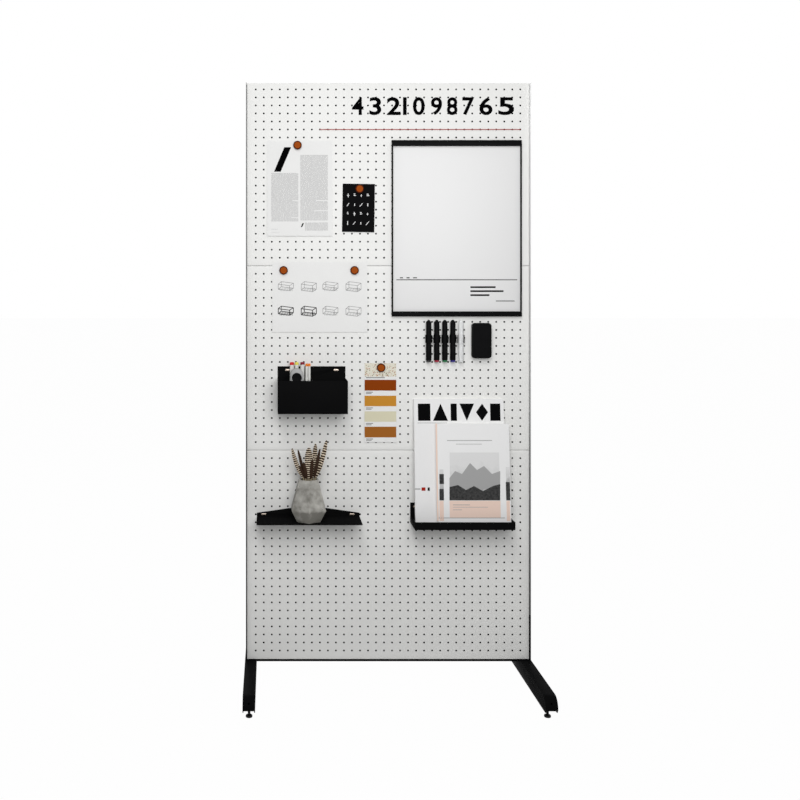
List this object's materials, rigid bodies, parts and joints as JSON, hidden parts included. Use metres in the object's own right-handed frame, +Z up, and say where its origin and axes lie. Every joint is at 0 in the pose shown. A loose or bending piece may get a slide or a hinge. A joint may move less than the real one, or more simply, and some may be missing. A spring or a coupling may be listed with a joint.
{
  "type": "pegboard display stand",
  "caption": "Tall pegboard display stand: perforated steel trays on two uprights with T-feet and levellers, dressed with shelves, a pocket, a whiteboard, papers, magnets and pens.",
  "frame": {"origin": "on the floor, in the middle of the stand between its two T-feet", "axes": "+Z up, -Y out of the board's front, +X to the right as seen from the front"},
  "size_m": [0.906, 0.65, 1.9],
  "materials": {
    "white_steel": "fine-textured white powder coat",
    "black_steel": "matt black powder coat",
    "leveller": "moulded black pad on a threaded stem",
    "black_plastic": "satin moulded black",
    "white_plastic": "gloss moulded white",
    "grey_plastic": "satin moulded grey",
    "clear_plastic": "clear moulded",
    "chrome": "bright plated",
    "white_enamel": "gloss white enamel",
    "red_wire": "red enamelled wire",
    "paper": "uncoated white paper",
    "black_card": "printed black card",
    "sample_card": "printed colour card",
    "magnet_leather": "tan leather over a steel cup",
    "concrete": "cast grey concrete",
    "feather": "barred brown feather",
    "cover": "coated printed paper"
  },
  "bodies": {
    "stand": {"left_post": "white_steel", "right_post": "white_steel", "left_edge_strip": "white_steel", "right_edge_strip": "white_steel", "left_foot_upright": "black_steel", "right_foot_upright": "black_steel", "left_foot": "black_steel", "right_foot": "black_steel", "top_rail": "white_steel", "upper_rail": "white_steel", "lower_rail": "white_steel", "bottom_rail": "black_steel", "upper_panel": "white_steel", "middle_panel": "white_steel", "lower_panel": "white_steel", "pocket": "black_steel", "pocket_left_stud": "chrome", "pocket_right_stud": "chrome", "gable_shelf": "black_steel", "shelf_left_stud": "chrome", "shelf_right_stud": "chrome", "ledge": "black_steel", "ledge_left_stud": "chrome", "ledge_right_stud": "chrome", "whiteboard_frame": "black_plastic", "whiteboard_sheet": "white_enamel", "header_wire": "red_wire", "text_sheet": "paper", "black_card": "black_card", "sketch_sheet": "paper", "sample_card": "sample_card", "black_marker_clip": "black_plastic", "red_marker_clip": "black_plastic", "green_marker_clip": "black_plastic", "blue_marker_clip": "black_plastic", "clear_marker_clip": "black_plastic"},
    "left_front_leveller": {"left_front_leveller": "leveller"},
    "left_rear_leveller": {"left_rear_leveller": "leveller"},
    "right_front_leveller": {"right_front_leveller": "leveller"},
    "right_rear_leveller": {"right_rear_leveller": "leveller"},
    "text_magnet": {"text_magnet": "magnet_leather"},
    "card_magnet": {"card_magnet": "magnet_leather"},
    "sketch_left_magnet": {"sketch_left_magnet": "magnet_leather"},
    "sketch_right_magnet": {"sketch_right_magnet": "magnet_leather"},
    "sample_magnet": {"sample_magnet": "magnet_leather"},
    "black_marker": {"black_marker": "black_plastic"},
    "red_marker": {"red_marker": "black_plastic"},
    "green_marker": {"green_marker": "black_plastic"},
    "blue_marker": {"blue_marker": "black_plastic"},
    "clear_marker": {"clear_marker": "clear_plastic"},
    "eraser": {"eraser": "black_plastic"},
    "red_pen": {"red_pen": "white_plastic"},
    "yellow_pen": {"yellow_pen": "white_plastic"},
    "dark_red_pen": {"dark_red_pen": "white_plastic"},
    "orange_pen": {"orange_pen": "white_plastic"},
    "tape_dispenser": {"tape_dispenser": "grey_plastic"},
    "vase": {"vase": "concrete"},
    "feathers": {"feathers": "feather"},
    "magazine": {"magazine": "cover"},
    "book": {"book": "cover"}
  },
  "joints": [
    {"name": "left_front_leveller_screw", "type": "slide", "parent": "stand", "child": "left_front_leveller", "axis": [0, 0, -1], "range_m": [0, 0.01]},
    {"name": "left_rear_leveller_screw", "type": "slide", "parent": "stand", "child": "left_rear_leveller", "axis": [0, 0, -1], "range_m": [0, 0.01]},
    {"name": "right_front_leveller_screw", "type": "slide", "parent": "stand", "child": "right_front_leveller", "axis": [0, 0, -1], "range_m": [0, 0.01]},
    {"name": "right_rear_leveller_screw", "type": "slide", "parent": "stand", "child": "right_rear_leveller", "axis": [0, 0, -1], "range_m": [0, 0.01]},
    {"name": "text_magnet_pull", "type": "slide", "parent": "stand", "child": "text_magnet", "axis": [0, -1, 0], "range_m": [0, 0.03]},
    {"name": "card_magnet_pull", "type": "slide", "parent": "stand", "child": "card_magnet", "axis": [0, -1, 0], "range_m": [0, 0.03]},
    {"name": "sketch_left_magnet_pull", "type": "slide", "parent": "stand", "child": "sketch_left_magnet", "axis": [0, -1, 0], "range_m": [0, 0.03]},
    {"name": "sketch_right_magnet_pull", "type": "slide", "parent": "stand", "child": "sketch_right_magnet", "axis": [0, -1, 0], "range_m": [0, 0.03]},
    {"name": "sample_magnet_pull", "type": "slide", "parent": "stand", "child": "sample_magnet", "axis": [0, -1, 0], "range_m": [0, 0.03]},
    {"name": "black_marker_pull", "type": "slide", "parent": "stand", "child": "black_marker", "axis": [0, -1, 0], "range_m": [0, 0.03]},
    {"name": "red_marker_pull", "type": "slide", "parent": "stand", "child": "red_marker", "axis": [0, -1, 0], "range_m": [0, 0.03]},
    {"name": "green_marker_pull", "type": "slide", "parent": "stand", "child": "green_marker", "axis": [0, -1, 0], "range_m": [0, 0.03]},
    {"name": "blue_marker_pull", "type": "slide", "parent": "stand", "child": "blue_marker", "axis": [0, -1, 0], "range_m": [0, 0.03]},
    {"name": "clear_marker_pull", "type": "slide", "parent": "stand", "child": "clear_marker", "axis": [0, -1, 0], "range_m": [0, 0.03]},
    {"name": "eraser_pull", "type": "slide", "parent": "stand", "child": "eraser", "axis": [0, -1, 0], "range_m": [0, 0.04]},
    {"name": "red_pen_lift", "type": "slide", "parent": "stand", "child": "red_pen", "axis": [0, 0, 1], "range_m": [0, 0.11]},
    {"name": "yellow_pen_lift", "type": "slide", "parent": "stand", "child": "yellow_pen", "axis": [0, 0, 1], "range_m": [0, 0.11]},
    {"name": "dark_red_pen_lift", "type": "slide", "parent": "stand", "child": "dark_red_pen", "axis": [0, 0, 1], "range_m": [0, 0.11]},
    {"name": "orange_pen_lift", "type": "slide", "parent": "stand", "child": "orange_pen", "axis": [0, 0, 1], "range_m": [0, 0.11]},
    {"name": "tape_dispenser_lift", "type": "slide", "parent": "stand", "child": "tape_dispenser", "axis": [0, 0, 1], "range_m": [0, 0.11]},
    {"name": "vase_slide", "type": "slide", "parent": "stand", "child": "vase", "axis": [0, -1, 0], "range_m": [0, 0.11]},
    {"name": "feathers_lift", "type": "slide", "parent": "vase", "child": "feathers", "axis": [0, 0, 1], "range_m": [0, 0.08]},
    {"name": "magazine_lift", "type": "slide", "parent": "stand", "child": "magazine", "axis": [0, 0, 1], "range_m": [0, 0.03]},
    {"name": "book_lift", "type": "slide", "parent": "magazine", "child": "book", "axis": [0, 0.1045, 0.9945], "range_m": [0, 0.03]}
  ]
}
